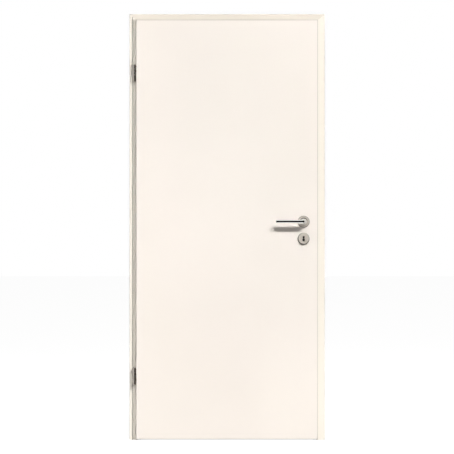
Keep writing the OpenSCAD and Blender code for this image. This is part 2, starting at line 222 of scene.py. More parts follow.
def add_piece(
    name: str, shell: Shell, body: str, finish: Material, stands_for: tuple[str, ...] = (),
    sharp: float = 32.0, painted_light_tone: Array | None = None,
) -> bpy.types.Object:
    """Makes a finished piece from a shell and hangs it on its body.

    Args:
        name: the piece's name.
        shell: its points and faces.
        body: the CAD body that it rides on.
        finish: its material.
        stands_for: CAD nodes that it replaces.
        sharp: angle in degrees above which an edge stays sharp.
        painted_light_tone: how much painted shade each point takes, from 0 to 1, or -1 for a painted
            highlight.

    Returns:
        The piece.
    """
    mesh = bpy.data.meshes.new(name)
    mesh.from_pydata(shell.points.tolist(), [], shell.faces)
    # Painted shade and highlight: each point's share of its finish's painted colours.
    if painted_light_tone is not None:
        tones = mesh.attributes.new(PAINTED_LIGHT_TONE, "FLOAT", "POINT")
        tones.data.foreach_set("value", painted_light_tone.astype(np.float32))
    work = bmesh.new()
    work.from_mesh(mesh)
    bmesh.ops.remove_doubles(work, verts=work.verts, dist=1e-7)
    bmesh.ops.recalc_face_normals(work, faces=work.faces)
    work.to_mesh(mesh)
    work.free()
    mesh.shade_smooth()
    mesh.set_sharp_from_angle(angle=math.radians(sharp))
    mesh.materials.append(finish)
    piece = bpy.data.objects.new(name, mesh)
    bpy.context.scene.collection.objects.link(piece)
    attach(piece, body)
    if stands_for:
        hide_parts(*stands_for)
    LOG.info("%s: %d faces on %s", name, len(mesh.polygons), body)
    return piece


# Shared node groups


def add_node(
    tree: Tree, kind: str, wires: dict[str | int, object], **settings: object,
) -> bpy.types.Node:
    """Adds a shader node.

    Args:
        tree: the node tree.
        kind: the node's type, without its first two words.
        wires: a value or a socket for each input, by name or number.
        **settings: the node's own settings.

    Returns:
        The node.
    """
    node = tree.nodes.new(f"ShaderNode{kind}")
    for label, value in settings.items():
        setattr(node, label, value)
    for label, value in wires.items():
        if isinstance(value, Socket):
            tree.links.new(value, node.inputs[label])
        else:
            node.inputs[label].default_value = value
    return node


def math_node(
    tree: Tree, operation: str, first: Socket | float, second: Socket | float = 0.0,
) -> Socket:
    """Adds a Math node.

    Args:
        tree: the node tree.
        operation: the sum that it does.
        first: its first value.
        second: its second value, where the sum has one.

    Returns:
        Its result.
    """
    return add_node(tree, "Math", {0: first, 1: second}, operation=operation).outputs[0]


def range_node(
    tree: Tree, value: Socket, low: float, high: float, to_low: float, to_high: float,
) -> Socket:
    """Adds a Map Range node that eases in and out between two values.

    Args:
        tree: the node tree.
        value: the value that is mapped.
        low: value that becomes to_low.
        high: value that becomes to_high.
        to_low: result at low.
        to_high: result at high.

    Returns:
        Its result.
    """
    wires = {"Value": value, "From Min": low, "From Max": high, "To Min": to_low, "To Max": to_high}
    return add_node(tree, "MapRange", wires, interpolation_type="SMOOTHSTEP").outputs["Result"]


def noise_node(tree: Tree, vector: Socket, scale: float, detail: float) -> Socket:
    """Adds a Noise Texture node.

    Args:
        tree: the node tree.
        vector: where it is read.
        scale: how fine it is.
        detail: how many finer layers it has.

    Returns:
        Its value, from 0 to 1.
    """
    return add_node(tree, "TexNoise", {"Vector": vector, "Scale": scale, "Detail": detail}).outputs[0]


def scaled(tree: Tree, vector: Socket, factor: Socket | Colour) -> Socket:
    """Adds a node that multiplies a place by factors.

    Args:
        tree: the node tree.
        vector: the place.
        factor: the factors on X, Y and Z.

    Returns:
        The stretched place.
    """
    return add_node(tree, "VectorMath", {0: vector, 1: factor}, operation="MULTIPLY").outputs[0]


def mix_colours(
    tree: Tree, factor: Socket, first: Colour | Socket, second: Colour,
) -> Socket:
    """Adds a node that mixes two colours.

    Args:
        tree: the node tree.
        factor: what mixes them.
        first: colour at factor 0, or an earlier mix.
        second: colour at factor 1.

    Returns:
        The mixed colour.
    """
    mix = add_node(tree, "Mix", {"Factor": factor}, data_type="RGBA")
    below, above = (s for s in mix.inputs if s.type == "RGBA")
    if isinstance(first, tuple):
        below.default_value = (*first, 1.0)
    else:
        tree.links.new(first, below)
    above.default_value = (*second, 1.0)
    return next(s for s in mix.outputs if s.type == "RGBA")


def new_group(
    name: str, inputs: dict[str, object], outputs: tuple[str, ...],
) -> tuple[Tree, object, object]:
    """Makes a shader node group that reads a Position and named inputs.

    Args:
        name: the group's name.
        inputs: default of each further input, one number or three.
        outputs: names of the values that it puts out.

    Returns:
        The group, the sockets that hold its inputs and the sockets that take its outputs.
    """
    tree = bpy.data.node_groups.new(name, "ShaderNodeTree")
    for label, default in {"Position": (0.0, 0.0, 0.0), **inputs}.items():
        kind = "NodeSocketVector" if isinstance(default, tuple) else "NodeSocketFloat"
        tree.interface.new_socket(name=label, in_out="INPUT", socket_type=kind).default_value = default
    for label in outputs:
        tree.interface.new_socket(name=label, in_out="OUTPUT", socket_type="NodeSocketFloat")
    given, result = tree.nodes.new("NodeGroupInput"), tree.nodes.new("NodeGroupOutput")
    return tree, given.outputs, result.inputs


def unevenness_group() -> Tree:
    """Slow change of tone and fine unevenness of a sprayed or cast surface.

    Returns:
        The group: a Shade near 1 and a Height from 0 to 1.
    """
    inputs = {"Amount": 0.02, "Fineness": (420.0, 420.0, 420.0)}
    tree, given, result = new_group("fine unevenness", inputs, ("Shade", "Height"))
    centred = math_node(tree, "SUBTRACT", noise_node(tree, given["Position"], 2.6, 2.0), 0.5)
    shade = math_node(tree, "ADD", math_node(tree, "MULTIPLY", centred, given["Amount"]), 1.0)
    fine = noise_node(tree, scaled(tree, given["Position"], given["Fineness"]), 1.0, 1.0)
    tree.links.new(shade, result["Shade"])
    tree.links.new(fine, result["Height"])
    return tree


def line_group() -> Tree:
    """Fine lines of a brushed metal, along one axis.

    Returns:
        The group: a Value and a Height, both from 0 to 1.
    """
    tree, given, result = new_group("brushed lines", {"Stretch": Lines.UPRIGHT.value}, ("Value", "Height"))
    place = scaled(tree, given["Position"], given["Stretch"])
    tree.links.new(noise_node(tree, place, 1.0, 2.0), result["Height"])
    tree.links.new(noise_node(tree, place, 0.35, 1.0), result["Value"])
    return tree


def ring_group() -> Tree:
    """Fine rings of a turned face, round a centre in X and Z.

    Formula: the distance from the centre in the plane of the face is read by a fine noise.

    Returns:
        The group: a Value and a Height, both from 0 to 1.
    """
    inputs = {"Centre": (0.0, 0.0, 0.0), "Fineness": 2600.0}
    tree, given, result = new_group("turned rings", inputs, ("Value", "Height"))
    offset = add_node(tree, "VectorMath", {0: given["Position"], 1: given["Centre"]}, operation="SUBTRACT")
    flat = scaled(tree, offset.outputs[0], (1.0, 0.0, 1.0))
    length = add_node(tree, "VectorMath", {0: flat}, operation="LENGTH").outputs["Value"]
    away = math_node(tree, "MULTIPLY", length, given["Fineness"])
    place = add_node(tree, "CombineXYZ", {0: away}).outputs[0]
    tree.links.new(noise_node(tree, place, 1.0, 2.0), result["Height"])
    tree.links.new(noise_node(tree, place, 0.3, 1.0), result["Value"])
    return tree


def touch_group() -> Tree:
    """Soft marks that hands and cleaning leave on a smooth surface.

    Returns:
        The group: a Mask from 0 to 1, mostly 0.
    """
    tree, given, result = new_group("handling marks", {"Size": (60.0, 60.0, 60.0)}, ("Mask",))
    patches = noise_node(tree, scaled(tree, given["Position"], given["Size"]), 1.0, 3.0)
    tree.links.new(range_node(tree, patches, 0.5, 0.72, 0.0, 1.0), result["Mask"])
    return tree


@dataclass(frozen=True)
class Groups:
    """The shared node groups, built once."""

    unevenness: Tree
    lines: Tree
    rings: Tree
    touch: Tree

    @staticmethod
    def build() -> Groups:
        """Builds the four groups."""
        return Groups(unevenness_group(), line_group(), ring_group(), touch_group())


class Recipe:
    """A material under construction: its tree, its Principled shader and the object's own coordinates."""

    def __init__(self, name: str, metallic: float = 0.0) -> None:
        """Starts a material.

        Args:
            name: the material's name.
            metallic: share of metal in its shader.
        """
        self.material = bpy.data.materials.new(name)
        self.material.use_nodes = True
        self.tree = self.material.node_tree
        self.shader = self.tree.nodes["Principled BSDF"]
        self.shader.inputs["Metallic"].default_value = metallic
        self.place = self.tree.nodes.new("ShaderNodeTexCoord").outputs["Object"]

    def group(self, tree: Tree, **values: object) -> bpy.types.Node:
        """Places a shared group and gives it the object's coordinates.

        Args:
            tree: the group.
            **values: values for its other inputs, by name.

        Returns:
            The group's node.
        """
        node = self.tree.nodes.new("ShaderNodeGroup")
        node.node_tree = tree
        self.tree.links.new(self.place, node.inputs["Position"])
        for label, value in values.items():
            node.inputs[label].default_value = value
        return node

    def tone(self) -> Socket:
        """Reads how much painted shade (over 0) or painted highlight (under 0) each point takes."""
        return add_node(self.tree, "Attribute", {}, attribute_name=PAINTED_LIGHT_TONE).outputs["Fac"]

    def colour(self, first: Colour | Socket, second: Colour, factor: Socket) -> Socket:
        """Mixes two colours into the base colour.

        Args:
            first: colour at factor 0, or an earlier mix.
            second: colour at factor 1.
            factor: what mixes them.

        Returns:
            The mixed colour.
        """
        result = mix_colours(self.tree, factor, first, second)
        self.tree.links.new(result, self.shader.inputs["Base Color"])
        return result

    def roughness(self, value: Socket, low: float, high: float) -> None:
        """Spreads a value over a range of roughness.

        Args:
            value: from 0 to 1.
            low: roughness at 0.
            high: roughness at 1.
        """
        spread = range_node(self.tree, value, 0.0, 1.0, low, high)
        self.tree.links.new(spread, self.shader.inputs["Roughness"])

    def worn_roughness(self, marks: Socket, grain: Socket, share: float, low: float, high: float) -> None:
        """Spreads handling marks and the metal's grain over a range of roughness.

        Args:
            marks: mask of the handling marks.
            grain: value of the grain.
            share: share of the marks; the grain has the rest.
            low: roughness at 0.
            high: roughness at 1.
        """
        both = math_node(
            self.tree, "ADD",
            math_node(self.tree, "MULTIPLY", marks, share),
            math_node(self.tree, "MULTIPLY", grain, 1.0 - share),
        )
        self.roughness(both, low, high)

    def bump(self, height: Socket, depth: float) -> None:
        """Raises the surface by a height.

        Args:
            height: from 0 to 1.
            depth: metres at 1.
        """
        node = add_node(self.tree, "Bump", {"Height": height, "Distance": depth, "Strength": 1.0})
        self.tree.links.new(node.outputs[0], self.shader.inputs["Normal"])


@dataclass(frozen=True)
class Finish:
    """A finish that varies between a darker and a lighter tone."""

    name: str
    dark: Colour
    light: Colour


@dataclass(frozen=True)
class Lacquer(Finish):
    """Sprayed satin lacquer on a board: nearly even tone and fine orange peel, with painted shade mixed in on
    edges where a point's tone asks for it, and a painted shadow line where one is asked for.
    """

    # Painted shade: darker colour that a point's tone mixes in along edges.
    edge: Colour = (0.6, 0.565, 0.51)
    smooth: float = 0.34
    matt: float = 0.44
    peel: float = 0.012 * MM
    # Painted shadow: a dark upright line that stands in for the shade in the gap between casing and lining.
    shadow_line_at: float | None = None
    shadow_line_half: float = 1.3 * MM
    shadow_line_blur: float = 0.3
    joint: Colour = (0.24, 0.215, 0.185)

    def make(self, groups: Groups) -> Material:
        """Builds the material, with an upright painted shadow line where one is asked for.

        Formula: the shadow line's share falls from 1 to 0 round half its width from its place on X.

        Args:
            groups: the shared node groups.

        Returns:
            The material.
        """
        recipe = Recipe(self.name)
        surface = recipe.group(groups.unevenness, Amount=1.0, Fineness=(520.0, 520.0, 520.0))
        marks = recipe.group(groups.touch, Size=(9.0, 9.0, 6.0))
        shade = range_node(recipe.tree, surface.outputs["Shade"], 0.75, 1.25, 0.0, 1.0)
        # Painted shade: the edge colour is mixed in by each point's tone.
        lacquer = recipe.colour(recipe.colour(self.dark, self.light, shade), self.edge, recipe.tone())
        # Painted shadow line, mixed in round its place on X.
        if self.shadow_line_at is not None:
            across = add_node(recipe.tree, "SeparateXYZ", {0: recipe.place}).outputs["X"]
            offset = math_node(recipe.tree, "SUBTRACT", across, self.shadow_line_at)
            away = math_node(recipe.tree, "ABSOLUTE", offset)
            inner, outer = (self.shadow_line_half * (1.0 + s * self.shadow_line_blur) for s in (-1, 1))
            recipe.colour(lacquer, self.joint, range_node(recipe.tree, away, inner, outer, 1.0, 0.0))
        recipe.roughness(marks.outputs["Mask"], self.smooth, self.matt)
        recipe.bump(surface.outputs["Height"], self.peel)
        return recipe.material


@dataclass(frozen=True)
class Metal(Finish):
    """A bare or plated metal with fine lines along one axis and faint handling marks."""

    smooth: float
    matt: float
    lines: Lines = Lines.NONE
    groove: float = 0.004 * MM

    def make(self, groups: Groups) -> Material:
        """Builds the material from the shared groups."""
        recipe = Recipe(self.name, 1.0)
        grain = recipe.group(groups.lines, Stretch=self.lines.value)
        marks = recipe.group(groups.touch, Size=(90.0, 90.0, 60.0))
        recipe.colour(self.dark, self.light, grain.outputs["Value"])
        recipe.worn_roughness(marks.outputs["Mask"], grain.outputs["Value"], 0.6, self.smooth, self.matt)
        recipe.bump(grain.outputs["Height"], self.groove)
        return recipe.material


@dataclass(frozen=True)
class TurnedMetal(Finish):
    """Satin plate with fine rings round one centre, painted shade in its groove and rims and a painted
    highlight on its hub.
    """

    centre: Colour
    # Painted shade is mixed in where a point's tone is over 0. The near-white polished colour is a painted
    # highlight, mixed in where it is under 0.
    painted_shade: Colour = (0.07, 0.055, 0.042)
    polished: Colour = (0.98, 0.955, 0.91)
    metallic: float = 0.45
    smooth: float = 0.4
    matt: float = 0.52
    groove: float = 0.006 * MM

    def make(self, groups: Groups) -> Material:
        """Builds the material: a tone over 0 mixes in painted shade and a tone under 0 a painted highlight.
        """
        recipe = Recipe(self.name, self.metallic)
        rings = recipe.group(groups.rings, Centre=self.centre)
        marks = recipe.group(groups.touch, Size=(70.0, 70.0, 70.0))
        tone = recipe.tone()
        plain = recipe.colour(self.dark, self.light, rings.outputs["Value"])
        shaded = recipe.colour(plain, self.painted_shade, tone)
        recipe.colour(shaded, self.polished, math_node(recipe.tree, "MULTIPLY", tone, -1.0))
        recipe.worn_roughness(marks.outputs["Mask"], rings.outputs["Value"], 0.5, self.smooth, self.matt)
        recipe.bump(rings.outputs["Height"], self.groove)
        return recipe.material


@dataclass(frozen=True)
class Rubber(Finish):
    """Soft seal rubber with a dusty bloom."""

    smooth: float = 0.52
    matt: float = 0.72

    def make(self, groups: Groups) -> Material:
        """Builds the material from the shared groups."""
        recipe = Recipe(self.name)
        surface = recipe.group(groups.unevenness, Amount=1.0, Fineness=(900.0, 900.0, 900.0))
        bloom = recipe.group(groups.touch, Size=(40.0, 40.0, 12.0))
        recipe.colour(self.dark, self.light, bloom.outputs["Mask"])
        recipe.roughness(surface.outputs["Height"], self.smooth, self.matt)
        recipe.bump(surface.outputs["Height"], 0.03 * MM)
        return recipe.material


@dataclass(frozen=True)
class Board(Finish):
    """Pressed wood chips: pale and brown flakes with small dark gaps."""

    smooth: float = 0.7
    matt: float = 0.9

    def make(self, groups: Groups) -> Material:
        """Builds the material from the shared groups."""
        recipe = Recipe(self.name)
        flakes = add_node(recipe.tree, "TexVoronoi", {"Vector": recipe.place, "Scale": 260.0})
        surface = recipe.group(groups.unevenness, Amount=1.0, Fineness=(700.0, 700.0, 700.0))
        mixed = math_node(recipe.tree, "MULTIPLY", flakes.outputs["Color"], surface.outputs["Height"])
        recipe.colour(self.dark, self.light, range_node(recipe.tree, mixed, 0.05, 0.5, 0.0, 1.0))
        recipe.roughness(surface.outputs["Height"], self.smooth, self.matt)
        recipe.bump(flakes.outputs["Distance"], 0.4 * MM)
        return recipe.material


@dataclass(frozen=True)
class Zinc(Finish):
    """Zinc-coated pressed steel with its pale flower pattern."""

    smooth: float = 0.38
    matt: float = 0.6

    def make(self, groups: Groups) -> Material:
        """Builds the material from the shared groups."""
        recipe = Recipe(self.name, 1.0)
        flowers = add_node(recipe.tree, "TexVoronoi", {"Vector": recipe.place, "Scale": 140.0})
        grey = add_node(recipe.tree, "RGBToBW", {0: flowers.outputs["Color"]}).outputs[0]
        marks = recipe.group(groups.touch, Size=(50.0, 50.0, 50.0))
        recipe.colour(self.dark, self.light, grey)
        recipe.roughness(marks.outputs["Mask"], self.smooth, self.matt)
        recipe.bump(grey, 0.01 * MM)
        return recipe.material


Palette = dict[str, Material]


def make_palette(groups: Groups) -> Palette:
    """Makes all finishes of the door.

    Args:
        groups: the shared node groups.

    Returns:
        The materials, by the name of what wears them.
    """
    frame_tones = (0.885, 0.838, 0.765), (0.9, 0.852, 0.778)
    rose_tones = (0.7, 0.645, 0.58), (0.86, 0.8, 0.73)
    rose, key = tuple(centre_of("front_rose")), tuple(centre_of("front_key_escutcheon"))
    # Place of the painted shadow line on the front hinge-side casing.
    joint = box_of("front_casing_hinge_side")[0].x + SHADOW_LINE_FROM_EDGE
    finishes = {
        "frame": Lacquer("frame_lacquer", *frame_tones),
        "hinge_casing": Lacquer("hinge_casing_lacquer", *frame_tones, shadow_line_at=joint),
        # Painted shade: the front head casing wears a darker copy of the frame lacquer.
        "head": Lacquer("shaded_head_lacquer", (0.805, 0.75, 0.67), (0.82, 0.764, 0.683)),
        "leaf": Lacquer("leaf_lacquer", (0.893, 0.835, 0.788), (0.907, 0.848, 0.8)),
        "lever": Metal("polished_lever", (0.82, 0.815, 0.805), (0.88, 0.875, 0.865), 0.03, 0.09, groove=0.0),
        "rose": TurnedMetal("satin_rose", *rose_tones, rose),
        "escutcheon": TurnedMetal("satin_escutcheon", *rose_tones, key),
        "hinge": Metal("hinge_nickel", (0.38, 0.34, 0.3), (0.47, 0.425, 0.38), 0.22, 0.32, Lines.UPRIGHT),
        "plate": Metal(
            "brushed_plate", (0.5, 0.495, 0.48), (0.64, 0.63, 0.615), 0.28, 0.45, Lines.UPRIGHT, 0.01 * MM,
        ),
        "bolt": Metal("bright_bolt", (0.6, 0.59, 0.57), (0.72, 0.71, 0.69), 0.14, 0.28, Lines.ACROSS),
        "screw": Metal("screw_steel", (0.55, 0.545, 0.53), (0.68, 0.67, 0.65), 0.2, 0.34),
        "zinc": Zinc("zinc_case", (0.06, 0.061, 0.062), (0.11, 0.111, 0.112)),
        "rubber": Rubber("seal_rubber", (0.3, 0.295, 0.285), (0.38, 0.375, 0.365)),
        "board": Board("pressed_board", (0.28, 0.18, 0.09), (0.62, 0.47, 0.3)),
    }
    return {word: finish.make(groups) for word, finish in finishes.items()}


# Places read from the CAD


def box_of(node: str) -> tuple[Vector, Vector]:
    """Lowest and highest corner of a CAD node's box."""
    low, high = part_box(node)
    return Vector(low), Vector(high)


def centre_of(node: str) -> Vector:
    """Middle of a CAD node's box."""
    low, high = box_of(node)
    return (low + high) / 2


def size_of(node: str) -> Vector:
    """Size of a CAD node's box."""
    low, high = box_of(node)
    return high - low


def face_plane(face: Face) -> float:
    """Y of one face of the leaf."""
    low, high = box_of(f"leaf_{face.word}_skin")
    return low.y if face is Face.FRONT else high.y


@dataclass(frozen=True)
class Keyhole:
    """Outline of the keyhole: a round top, sides that spread downwards from its middle and a round foot."""

    top_diameter: float = 10.5 * MM
    waist_width: float = 1.5 * MM
    foot_width: float = 12.5 * MM
    height: float = 25 * MM

    def reach(self, angles: Array, extra: float = 0.0) -> Array:
        """Distance from the keyhole's middle to its edge.

        Formula: the farthest of the ray's ways out of the top circle, the foot circle and the waist's sides.

        Args:
            angles: directions in radians, from +X towards +Z.
            extra: how far the edge is moved outwards.

        Returns:
            One distance for each angle.
        """
        dx, dz = np.cos(angles), np.sin(angles)
        top, foot = self.height / 2 - self.top_diameter / 2, self.foot_width / 2 - self.height / 2
        best = np.zeros_like(angles)
        for middle, radius in ((top, self.top_diameter / 2 + extra), (foot, self.foot_width / 2 + extra)):
            along = dz * middle
            inside = along**2 - middle**2 + radius**2
            met = (inside > 0) & (along > 0)
            best = np.maximum(best, np.where(met, along + np.sqrt(np.maximum(inside, 0)), 0))
        lean = (self.foot_width - self.waist_width) / 2 / (top - foot)
        half = self.waist_width / 2 + lean * top + extra
        sides = half / np.maximum(np.abs(dx) + lean * dz, 1e-9)
        ends = np.where(dz > 0, top, foot) / np.where(np.abs(dz) < 1e-9, 1e-9, dz)
        return np.maximum(best, np.minimum(np.abs(sides), np.abs(ends)))


@dataclass(frozen=True)
class FlushSkin:
    """One face board of the leaf, with eased arrises, the keyhole through it and painted shade along its top
    and lock-side edges.
    """

    face: Face
    arris: float = 2.4 * MM
    support: float = 1.2 * MM
    # Painted shade: share of the lacquer's darker edge colour on the arris and edge rows near the top and the
    # lock side.
    painted_light_tone: float = 0.95
    shade_band: float = 6 * MM
    keyhole: Keyhole = Keyhole()
    arris_steps: int = 6
    per_side: int = 96

    def rectangle(self, low: Vector, high: Vector, inset: float, hole: Vector) -> Array:
        """Points round a rectangle in X and Z.

        Formula: from each corner to the next, points spread evenly by their angle seen from the keyhole.

        Args:
            low: lowest corner.
            high: highest corner.
            inset: how far the rectangle is drawn in.
            hole: middle of the keyhole.

        Returns:
            Points, two numbers each.
        """
        outer = np.array([[low.x, low.z], [high.x, low.z], [high.x, high.z], [low.x, high.z]])
        inner = outer + inset * np.array([[1, 1], [-1, 1], [-1, -1], [1, -1]])
        rows = []
        for k in range(4):
            a, b = outer[k] - [hole.x, hole.z], outer[(k + 1) % 4] - [hole.x, hole.z]
            t0, t1 = np.arctan2(a[1], a[0]), np.arctan2(b[1], b[0])
            t1 += 2 * np.pi if t1 < t0 else 0.0
            t = np.linspace(t0, t1, self.per_side, endpoint=False)
            d = np.stack([np.cos(t), np.sin(t)], axis=-1)
            edge = b - a
            share = (a[1] * d[:, 0] - a[0] * d[:, 1]) / (edge[0] * d[:, 1] - edge[1] * d[:, 0])
            rows.append(inner[k] + share[:, None] * (inner[(k + 1) % 4] - inner[k]))
        return np.concatenate(rows)

    def build(self, palette: Palette) -> None:
        """Builds the skin: hole, flat face, arris, edge and flat back as one closed surface.

        Formula: closed rings run from the back of the hole to its front, out over the face, round a quarter
        circle at the arris, back along the edge and in again to the hole.

        Args:
            palette: the finishes.
        """
        node = f"leaf_{self.face.word}_skin"
        low, high = box_of(node)
        hole = centre_of("front_key_escutcheon")
        front = face_plane(self.face)
        inner = high.y if self.face is Face.FRONT else low.y
        into = -self.face.value
        edge = self.rectangle(low, high, 0.0, hole)
        angles = np.arctan2(edge[:, 1] - hole.z, edge[:, 0] - hole.x)
        r = self.keyhole.reach(angles)
        rim = np.stack([hole.x + r * np.cos(angles), hole.z + r * np.sin(angles)], axis=-1)
        flat = self.rectangle(low, high, self.arris + self.support, hole)
        rows = [(rim, inner), (rim, front), (flat, front)]
        for t in np.radians(np.linspace(0, 90, self.arris_steps + 1)):
            inset = self.arris * (1 - math.sin(t))
            y = front + into * self.arris * (1 - math.cos(t))
            rows.append((self.rectangle(low, high, inset, hole), y))
        rows.append((self.rectangle(low, high, 0.0, hole), inner))
        rings = np.stack([np.insert(xz, 1, y, axis=1) for xz, y in rows])
        shell = Shell()
        shell.add_ring_surface(rings)
        # Painted shade: rows from the arris outwards, within the band along the top and the lock-side edge,
        # take the lacquer's darker edge colour, standing in for the shade beside the casing.
        on_rim = np.arange(len(rows)) > 2
        shaded_points = (rings[..., 0] > high.x - self.shade_band) | (rings[..., 2] > high.z - self.shade_band)
        tone = np.where(on_rim[:, None] & shaded_points, self.painted_light_tone, 0.0).ravel()
        name = f"{self.face.word}_face_board"
        add_piece(name, shell, "leaf", palette["leaf"], (node,), painted_light_tone=tone)


@dataclass(frozen=True)
class Rose:
    """Turned rose round a lever's neck: a flat disc with a rounded edge and a raised hub."""

    face: Face
    bore: float = 9.8 * MM
    hub: float = 15 * MM
    hub_rise: float = 2 * MM
    edge: float = 3 * MM
    ease: float = 0.5 * MM
    gap: float = 4 * MM
    gap_depth: float = 2 * MM
    rim_width: float = 5.5 * MM
    # Painted shade on the rounded rim.
    rim_shade: float = 0.62

    def build(self, palette: Palette) -> None:
        """Builds the rose as a closed ring round its bore.

        Formula: the section runs up the bore, over the hub's eased edge, down into the groove round the hub,
        out over the disc to its rounded rim and back along the leaf; it is turned round the spindle.

        Args:
            palette: the finishes.
        """
        node = f"{self.face.word}_rose"
        size, middle = size_of(node), centre_of(node)
        radius, thick = size.x / 2, size.y - self.hub_rise
        origin = Vector((middle.x, face_plane(self.face), middle.z))
        top = thick + self.hub_rise
        e = self.ease
        profile = np.vstack([
            [[self.bore, 0.0], [self.bore, top - e]],
            arc((self.bore + e, top - e), e, 180, 90, 3)[1:],
            [[self.hub - 2 * e, top]],
            arc((self.hub - e, top - e), e, 90, 0, 4),
            [[self.hub, thick - self.gap_depth], [self.hub + self.gap, thick - self.gap_depth]],
            arc((self.hub + self.gap + 0.4 * e, thick - 0.4 * e), 0.4 * e, 180, 90, 3),
            [[radius - self.rim_width - e, thick]],
            arc((radius - self.rim_width, thick - self.edge), self.rim_width, 90, 0, 12, self.edge),
            [[radius, e]],
            arc((radius - e, e), e, 0, -90, 2)[1:],
        ])
        r, d = profile.T
        in_gap = (d < thick - e) & (r >= self.hub) & (r <= self.hub + self.gap)
        on_rim = (d < thick - RIM_START * self.edge) & (r > radius - self.rim_width)
        on_hub = (d > thick) & (r < self.hub + e)
        rings = turned(profile, origin, Vector((0, self.face.value, 0)), 128)
        # Painted shade and highlight: the groove round the hub grows darker towards its top, the rim is
        # darkened all round, and the hub takes the painted highlight.
        up = np.clip((rings[..., 2] - origin.z) / self.hub, 0, 1)
        elsewhere = np.where(on_rim, self.rim_shade, np.where(on_hub, -1.0, 0.0))
        tone = np.where(in_gap[:, None], up, elsewhere[:, None]).ravel()
        shell = Shell()
        shell.add_ring_surface(rings)
        name = f"{self.face.word}_turned_rose"
        add_piece(name, shell, "leaf", palette["rose"], (node,), SMOOTH_TO, tone)


@dataclass(frozen=True)
class KeyEscutcheon:
    """Round plate over the keyhole, with a rounded edge and an eased keyhole."""

    face: Face
    edge: float = 3 * MM
    rim_width: float = 5.5 * MM
    # Painted shade on the rounded rim, strongest on the lower left.
    rim_shade: float = 0.8
    ease: float = 0.35 * MM
    keyhole: Keyhole = Keyhole()
    around: int = 256

    def build(self, palette: Palette) -> None:
        """Builds the plate as a closed surface through its keyhole.

        Formula: rings run up the keyhole's wall, over its eased rim, out over the face in a straight mix of
        the keyhole's outline and a circle, round the rim and back along the leaf.

        Args:
            palette: the finishes.
        """
        node = f"{self.face.word}_key_escutcheon"
        size, middle = size_of(node), centre_of(node)
        radius, thick = size.x / 2, size.y
        plane, out = face_plane(self.face), self.face.value
        t = np.linspace(0, 2 * np.pi, self.around, endpoint=False)
        hole = self.keyhole.reach(t)
        rows = [(hole, 0.0), (hole, thick - self.ease)]
        for a in np.radians((30, 60, 90)):
            rows.append((hole + self.ease * (1 - math.cos(a)), thick - self.ease * (1 - math.sin(a))))
        flat = radius - self.rim_width
        rows.append((hole + 3 * self.ease, thick))
        rows.append((np.full_like(t, flat - 0.6 * MM), thick))
        for r, d in arc((flat, thick - self.edge), self.rim_width, 90, 0, 12, self.edge):
            rows.append((np.full_like(t, r), d))
        rows.append((np.full_like(t, radius), 0.0))
        reach = np.stack([r for r, _ in rows])
        depths = np.array([d for _, d in rows])
        y = np.broadcast_to(plane + out * depths[:, None], reach.shape)
        rings = np.stack([middle.x + reach * np.cos(t), y, middle.z + reach * np.sin(t)], axis=-1)
        shell = Shell()
        shell.add_ring_surface(rings)
        # Painted shade: the rim is darkened, most on its lower-left side, away from the light.
        outside = reach.min(axis=1) > flat
        lower_left_shade = 0.5 - 0.5 * (0.5 * np.cos(t) + 0.87 * np.sin(t))
        on_rim = outside & (depths < thick - RIM_START * self.edge)
        tone = (on_rim[:, None] * self.rim_shade * (0.35 + lower_left_shade)).ravel()
        name = f"{self.face.word}_key_plate"
        add_piece(name, shell, "leaf", palette["escutcheon"], (node,), SMOOTH_TO, tone)


@dataclass(frozen=True)
class Lever:
    """Round polished lever: a neck out of the rose, a bend and a straight bar with a flat, eased tip."""

    face: Face
    bend: float = 14 * MM
    tip: float = 1.5 * MM
    root_ease: float = 0.3 * MM
    around: int = 72

    def build(self, palette: Palette) -> None:
        """Builds the lever as one tube.

        Formula: the middle line goes straight out from the leaf, round a quarter circle of the bend's radius
        and straight along -X; each ring is the middle point plus the bar's radius times (cosine along the
        line's normal, sine along Z), and the radius shrinks on a quarter circle at the tip.

        Args:
            palette: the finishes.
        """
        node = f"{self.face.word}_lever"
        low, high = box_of(node)
        radius = (high.z - low.z) / 2
        out = self.face.value
        x_neck, z = high.x - radius, (low.z + high.z) / 2
        y_neck = high.y if self.face is Face.FRONT else low.y
        y_bar = (low.y + radius) if self.face is Face.FRONT else (high.y - radius)
        neck = abs(y_bar - y_neck) - self.bend
        length = x_neck - low.x - self.bend
        line, normal, radii = [], [], []
        for s in (0.0, self.root_ease, neck * 0.5, neck - 0.5 * MM):
            line.append((0.0, s))
            normal.append((1.0, 0.0))
            radii.append(radius - self.root_ease if s == 0.0 else radius)
        for t in np.radians(np.linspace(0, 90, 25)):
            line.append((-self.bend * (1 - math.cos(t)), neck + self.bend * math.sin(t)))
            normal.append((math.cos(t), math.sin(t)))
            radii.append(radius)
        for s in (1 * MM, length * 0.35, length * 0.7, length - self.tip - 1 * MM):
            line.append((-self.bend - s, neck + self.bend))
            normal.append((0.0, 1.0))
            radii.append(radius)
        for t in np.radians(np.linspace(0, 90, 8)):
            line.append((-self.bend - length + self.tip * (1 - math.sin(t)), neck + self.bend))
            normal.append((0.0, 1.0))
            radii.append(radius - self.tip * (1 - math.cos(t)))
        line.append((-self.bend - length, neck + self.bend))
        normal.append((0.0, 1.0))
        radii.append(radius - self.tip - 1.0 * MM)
        p, n, r = np.array(line), np.array(normal), np.array(radii)
        t = np.linspace(0, 2 * np.pi, self.around, endpoint=False)
        across = r[:, None] * np.cos(t)
        rings = np.stack([
            x_neck + p[:, 0, None] + n[:, 0, None] * across,
            y_neck + out * (p[:, 1, None] + n[:, 1, None] * across),
            z + r[:, None] * np.sin(t),
        ], axis=-1)
        shell = Shell()
        shell.add_tube(rings)
        name = f"{self.face.word}_round_lever"
        add_piece(name, shell, "handle", palette["lever"], (node,), 60)


